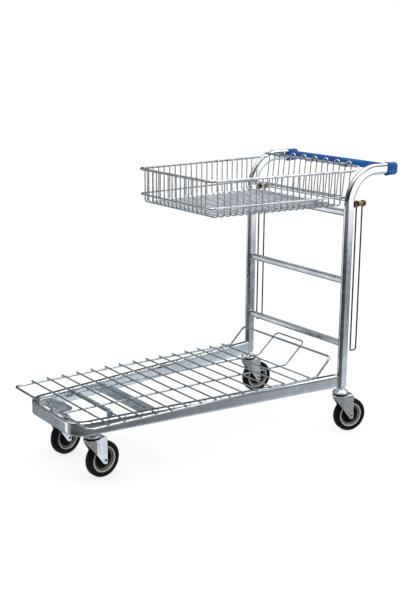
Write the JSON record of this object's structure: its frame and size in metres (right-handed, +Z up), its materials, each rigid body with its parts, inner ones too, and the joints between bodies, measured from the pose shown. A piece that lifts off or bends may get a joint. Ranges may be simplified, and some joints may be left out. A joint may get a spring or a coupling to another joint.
{
  "type": "platform trolley",
  "caption": "Nestable wire-deck platform trolley on swivel casters, with a ladder back, a hinged deck, a wire basket with a swinging flap, and a plastic push handle.",
  "frame": {"origin": "on the floor, at the centre of the outer box's bottom face", "axes": "+X forwards, the way the trolley is pushed; +Y to the trolley's left; +Z up"},
  "size_m": [1.2985, 0.6079, 0.9968],
  "materials": {
    "zinc_tube": "bright zinc plated tube, smooth and reflective",
    "zinc_wire": "bright zinc plated round wire",
    "zinc_pressing": "bright zinc plated pressed sheet",
    "yellow_brass": "yellow passivated, slightly worn",
    "blue_plastic": "royal blue, glossy with a fine moulded grain",
    "black_tyre": "solid rubber, slightly dusty",
    "grey_hub": "grey-brown moulded nylon"
  },
  "bodies": {
    "chassis": {"base_frame": "zinc_tube", "cross_plate": "zinc_pressing", "support_strap": "zinc_pressing", "front_caster_plates": "zinc_pressing", "deck_clips": "zinc_pressing", "left_upright": "zinc_tube", "right_upright": "zinc_tube", "stem_plugs": "zinc_pressing", "low_crossbar": "zinc_tube", "mid_crossbar": "zinc_tube", "top_crossbar": "zinc_tube", "left_handle_cap": "blue_plastic", "right_handle_cap": "blue_plastic", "handle_bar": "blue_plastic", "basket_rim": "zinc_wire", "basket_belt": "zinc_wire", "basket_left_side": "zinc_wire", "basket_right_side": "zinc_wire", "basket_front": "zinc_wire", "basket_floor_cross": "zinc_wire", "basket_floor_long": "zinc_wire", "bail_bolts": "yellow_brass", "bail_spacers": "yellow_brass", "bail_nuts": "yellow_brass", "caster_heads": "zinc_pressing", "kingpins": "zinc_pressing"},
    "deck": {"deck_edge": "zinc_wire", "deck_outer_ramp": "zinc_wire", "deck_inner_wires": "zinc_wire", "deck_inner_ramp": "zinc_wire", "deck_cross_wires": "zinc_wire"},
    "basket_flap": {"basket_flap": "zinc_wire"},
    "left_bail": {"left_bail": "zinc_wire"},
    "right_bail": {"right_bail": "zinc_wire"},
    "left_rear_swivel": {"left_rear_fork": "zinc_pressing", "left_rear_race": "zinc_pressing", "left_rear_axle": "zinc_pressing"},
    "left_rear_wheel": {"left_rear_tyre": "black_tyre", "left_rear_hub": "grey_hub"},
    "right_rear_swivel": {"right_rear_fork": "zinc_pressing", "right_rear_race": "zinc_pressing", "right_rear_axle": "zinc_pressing"},
    "right_rear_wheel": {"right_rear_tyre": "black_tyre", "right_rear_hub": "grey_hub"},
    "left_front_swivel": {"left_front_fork": "zinc_pressing", "left_front_race": "zinc_pressing", "left_front_axle": "zinc_pressing"},
    "left_front_wheel": {"left_front_tyre": "black_tyre", "left_front_hub": "grey_hub"},
    "right_front_swivel": {"right_front_fork": "zinc_pressing", "right_front_race": "zinc_pressing", "right_front_axle": "zinc_pressing"},
    "right_front_wheel": {"right_front_tyre": "black_tyre", "right_front_hub": "grey_hub"}
  },
  "joints": [
    {"name": "deck_tilt", "type": "hinge", "parent": "chassis", "child": "deck", "pos_m": [0.6435, 0, 0.2346], "axis": [0, 1, 0], "range_deg": [0, 30]},
    {"name": "flap_swing", "type": "hinge", "parent": "chassis", "child": "basket_flap", "pos_m": [-0.473, 0, 0.979], "axis": [0, -1, 0], "range_deg": [0, 70]},
    {"name": "left_bail_swing", "type": "hinge", "parent": "chassis", "child": "left_bail", "pos_m": [-0.469, 0.271, 0.85], "axis": [1, 0, 0], "range_deg": [-80, 90]},
    {"name": "right_bail_swing", "type": "hinge", "parent": "chassis", "child": "right_bail", "pos_m": [-0.469, -0.271, 0.85], "axis": [1, 0, 0], "range_deg": [-90, 80]},
    {"name": "left_rear_swivel_turn", "type": "hinge", "parent": "chassis", "child": "left_rear_swivel", "pos_m": [-0.415, 0.271, 0.14], "axis": [0, 0, 1], "continuous": true},
    {"name": "left_rear_wheel_spin", "type": "hinge", "parent": "left_rear_swivel", "child": "left_rear_wheel", "pos_m": [-0.45466, 0.28015, 0.0625], "axis": [0.225, 0.9744, 0], "continuous": true},
    {"name": "right_rear_swivel_turn", "type": "hinge", "parent": "chassis", "child": "right_rear_swivel", "pos_m": [-0.415, -0.271, 0.14], "axis": [0, 0, 1], "continuous": true},
    {"name": "right_rear_wheel_spin", "type": "hinge", "parent": "right_rear_swivel", "child": "right_rear_wheel", "pos_m": [-0.45547, -0.26667, 0.0625], "axis": [0.1063, 0.9943, 0], "continuous": true},
    {"name": "left_front_swivel_turn", "type": "hinge", "parent": "chassis", "child": "left_front_swivel", "pos_m": [0.556, 0.1195, 0.14], "axis": [0, 0, 1], "continuous": true},
    {"name": "left_front_wheel_spin", "type": "hinge", "parent": "left_front_swivel", "child": "left_front_wheel", "pos_m": [0.51549, 0.1156, 0.0625], "axis": [-0.0958, 0.9954, 0], "continuous": true},
    {"name": "right_front_swivel_turn", "type": "hinge", "parent": "chassis", "child": "right_front_swivel", "pos_m": [0.556, -0.1195, 0.14], "axis": [0, 0, 1], "continuous": true},
    {"name": "right_front_wheel_spin", "type": "hinge", "parent": "right_front_swivel", "child": "right_front_wheel", "pos_m": [0.51622, -0.1281, 0.0625], "axis": [-0.2113, 0.9774, 0], "continuous": true}
  ]
}
